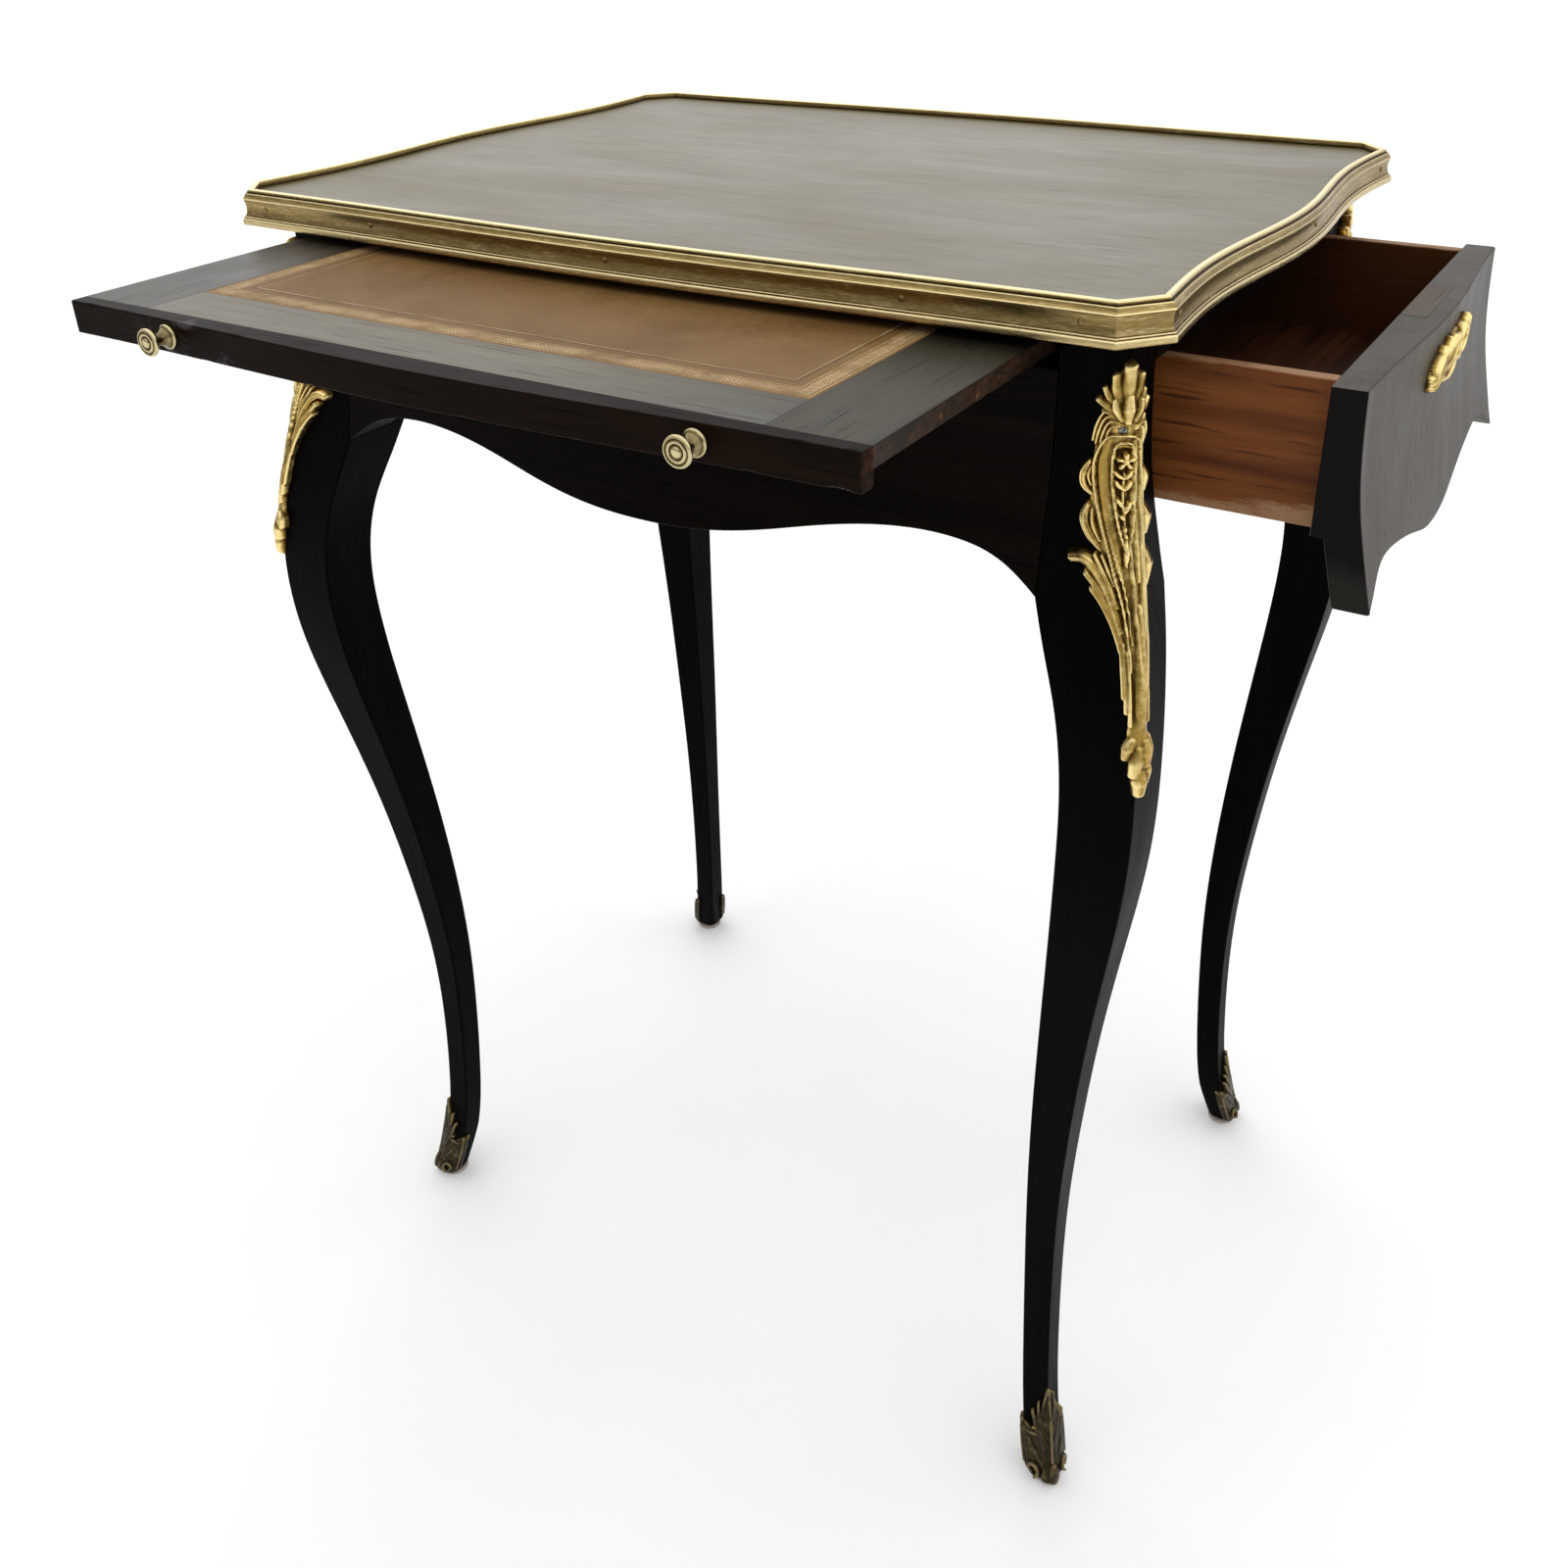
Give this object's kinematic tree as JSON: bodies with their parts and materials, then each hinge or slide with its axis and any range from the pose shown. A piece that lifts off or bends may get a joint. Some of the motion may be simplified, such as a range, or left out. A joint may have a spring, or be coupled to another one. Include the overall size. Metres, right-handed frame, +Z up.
{
  "type": "writing table",
  "caption": "Small writing table with a leather-lined writing slide at the front, a side drawer, cabriole legs and bronze mounts.",
  "frame": {"origin": "on the floor, midway between the four feet, under the middle of the top", "axes": "+Z up, +X to the right as seen by the person who writes, -Y to the front, where the writing slide pulls out; the drawer pulls out along +X"},
  "size_m": [0.6298, 0.5555, 0.748],
  "materials": {
    "gallery_brass": "antique patina",
    "pin_brass": "antique patina",
    "gilt_bronze": "gilt and chased",
    "shoe_bronze": "dark patina",
    "knob_brass": "polished",
    "screw_steel": "plain",
    "glide_pad": "matt",
    "writing_leather": "fine grain, blind and gilt tooled border",
    "drawer_mahogany": "waxed",
    "inner_oak": "bare",
    "top_veneer": "satin, worn",
    "ebonised_wood": "satin polish"
  },
  "bodies": {
    "table": {"apron_front": "ebonised_wood", "apron_left": "ebonised_wood", "apron_rear": "ebonised_wood", "corner_mount_front_left": "gilt_bronze", "corner_mount_front_right": "gilt_bronze", "corner_mount_rear_left": "gilt_bronze", "corner_mount_rear_right": "gilt_bronze", "corner_mount_screws": "pin_brass", "drawer_blade": "inner_oak", "drawer_kicker_front": "inner_oak", "drawer_kicker_rear": "inner_oak", "drawer_runner_front": "inner_oak", "drawer_runner_rear": "inner_oak", "drawer_top_rail": "ebonised_wood", "foot_glides": "glide_pad", "gallery_corner_front_left": "gallery_brass", "gallery_corner_front_right": "gallery_brass", "gallery_corner_rear_left": "gallery_brass", "gallery_corner_rear_right": "gallery_brass", "gallery_front": "gallery_brass", "gallery_left_front": "gallery_brass", "gallery_left_rear": "gallery_brass", "gallery_pins": "pin_brass", "gallery_rear": "gallery_brass", "gallery_right": "gallery_brass", "glue_blocks": "inner_oak", "leg_front_left": "ebonised_wood", "leg_front_right": "ebonised_wood", "leg_rear_left": "ebonised_wood", "leg_rear_right": "ebonised_wood", "sabot_front_left": "shoe_bronze", "sabot_front_right": "shoe_bronze", "sabot_pins": "pin_brass", "sabot_rear_left": "shoe_bronze", "sabot_rear_right": "shoe_bronze", "slide_bearer_left": "inner_oak", "slide_bearer_right": "inner_oak", "slide_guide_left": "inner_oak", "slide_guide_right": "inner_oak", "top_panel": "top_veneer", "top_screws": "screw_steel"},
    "writing_slide": {"slide_front_edging": "ebonised_wood", "slide_front_rail": "ebonised_wood", "slide_rear_rail": "ebonised_wood", "slide_stile_left": "ebonised_wood", "slide_stile_right": "ebonised_wood", "slide_core": "ebonised_wood", "slide_leather": "writing_leather", "slide_knob_left": "knob_brass", "slide_knob_right": "knob_brass", "slide_stop_pins": "inner_oak"},
    "drawer": {"drawer_front": "ebonised_wood", "drawer_side_front": "drawer_mahogany", "drawer_side_rear": "drawer_mahogany", "drawer_back": "drawer_mahogany", "drawer_bottom": "drawer_mahogany", "lock_patch": "ebonised_wood", "drawer_pull": "gilt_bronze", "drawer_pull_pins": "pin_brass"}
  },
  "joints": [
    {"name": "slide_travel", "type": "slide", "parent": "table", "child": "writing_slide", "axis": [0, -1, 0], "range_m": [-0.164, 0.045]},
    {"name": "drawer_travel", "type": "slide", "parent": "table", "child": "drawer", "axis": [1, 0, 0], "range_m": [-0.0892, 0.118]}
  ]
}
